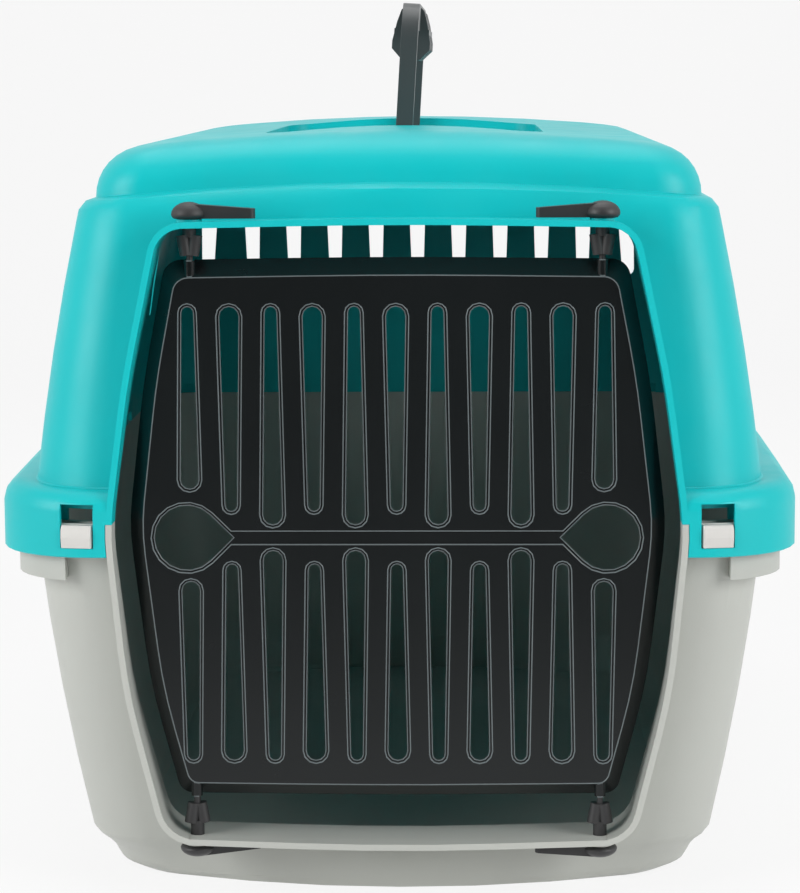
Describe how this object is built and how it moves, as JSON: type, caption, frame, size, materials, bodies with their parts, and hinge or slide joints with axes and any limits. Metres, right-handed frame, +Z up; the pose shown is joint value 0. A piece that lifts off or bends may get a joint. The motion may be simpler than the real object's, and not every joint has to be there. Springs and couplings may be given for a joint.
{
  "type": "pet carrier",
  "caption": "Two-shell plastic pet carrier with a slotted swing door on turning levers, press-in corner clips, air slots and a fold-down carrying handle.",
  "frame": {"origin": "centre of the base's length and width, on the plane the carrier stands on", "axes": "+Z up, -Y towards the door, +X to the right of a viewer who faces the door"},
  "size_m": [0.4168, 0.614, 0.4641],
  "materials": {
    "teal": "satin",
    "lower_grey": "satin",
    "clip_grey": "satin",
    "door_black": "gloss",
    "lever_grey": "matte",
    "handle_grey": "satin"
  },
  "bodies": {
    "carrier": {"lower_shell": "lower_grey", "upper_shell": "teal"},
    "door": {"door_panel": "door_black"},
    "handle": {"carry_handle": "handle_grey"},
    "lever_top_left_body": {"lever_top_left": "lever_grey"},
    "lever_top_right_body": {"lever_top_right": "lever_grey"},
    "lever_bottom_left_body": {"lever_bottom_left": "lever_grey"},
    "lever_bottom_right_body": {"lever_bottom_right": "lever_grey"},
    "clip_front_left_body": {"clip_front_left": "clip_grey"},
    "clip_front_right_body": {"clip_front_right": "clip_grey"},
    "clip_rear_left_body": {"clip_rear_left": "clip_grey"},
    "clip_rear_right_body": {"clip_rear_right": "clip_grey"},
    "clip_side_front_left_body": {"clip_side_front_left": "clip_grey"},
    "clip_side_front_right_body": {"clip_side_front_right": "clip_grey"},
    "clip_side_rear_left_body": {"clip_side_rear_left": "clip_grey"},
    "clip_side_rear_right_body": {"clip_side_rear_right": "clip_grey"}
  },
  "joints": [
    {"name": "door_swing", "type": "hinge", "parent": "carrier", "child": "door", "pos_m": [0.1042, -0.293, 0], "axis": [0, 0, 1], "range_deg": [0, 120]},
    {"name": "handle_fold", "type": "hinge", "parent": "carrier", "child": "handle", "pos_m": [0, 0, 0.388], "axis": [0, 1, 0], "range_deg": [-91, 84]},
    {"name": "lever_top_left_turn", "type": "hinge", "parent": "carrier", "child": "lever_top_left_body", "pos_m": [-0.1042, -0.293, 0], "axis": [0, 0, 1], "range_deg": [-90, 0]},
    {"name": "lever_bottom_left_turn", "type": "hinge", "parent": "carrier", "child": "lever_bottom_left_body", "pos_m": [-0.1042, -0.293, 0], "axis": [0, 0, 1], "range_deg": [-90, 0]},
    {"name": "lever_top_right_turn", "type": "hinge", "parent": "carrier", "child": "lever_top_right_body", "pos_m": [0.1042, -0.293, 0], "axis": [0, 0, 1], "range_deg": [0, 90]},
    {"name": "lever_bottom_right_turn", "type": "hinge", "parent": "carrier", "child": "lever_bottom_right_body", "pos_m": [0.1042, -0.293, 0], "axis": [0, 0, 1], "range_deg": [0, 90]},
    {"name": "clip_front_left_press", "type": "slide", "parent": "carrier", "child": "clip_front_left_body", "axis": [0.1538, 0.9881, 0], "range_m": [0, 0.0036], "stiffness_N_per_m": 1500, "springref_m": -0.002},
    {"name": "clip_side_front_left_press", "type": "slide", "parent": "carrier", "child": "clip_side_front_left_body", "axis": [1, 0, 0], "range_m": [0, 0.0036], "stiffness_N_per_m": 1500, "springref_m": -0.002},
    {"name": "clip_front_right_press", "type": "slide", "parent": "carrier", "child": "clip_front_right_body", "axis": [-0.1538, 0.9881, 0], "range_m": [0, 0.0036], "stiffness_N_per_m": 1500, "springref_m": -0.002},
    {"name": "clip_side_front_right_press", "type": "slide", "parent": "carrier", "child": "clip_side_front_right_body", "axis": [-1, 0, 0], "range_m": [0, 0.0036], "stiffness_N_per_m": 1500, "springref_m": -0.002},
    {"name": "clip_rear_left_press", "type": "slide", "parent": "carrier", "child": "clip_rear_left_body", "axis": [0.1538, -0.9881, 0], "range_m": [0, 0.0036], "stiffness_N_per_m": 1500, "springref_m": -0.002},
    {"name": "clip_side_rear_left_press", "type": "slide", "parent": "carrier", "child": "clip_side_rear_left_body", "axis": [1, 0, 0], "range_m": [0, 0.0036], "stiffness_N_per_m": 1500, "springref_m": -0.002},
    {"name": "clip_rear_right_press", "type": "slide", "parent": "carrier", "child": "clip_rear_right_body", "axis": [-0.1538, -0.9881, 0], "range_m": [0, 0.0036], "stiffness_N_per_m": 1500, "springref_m": -0.002},
    {"name": "clip_side_rear_right_press", "type": "slide", "parent": "carrier", "child": "clip_side_rear_right_body", "axis": [-1, 0, 0], "range_m": [0, 0.0036], "stiffness_N_per_m": 1500, "springref_m": -0.002}
  ]
}
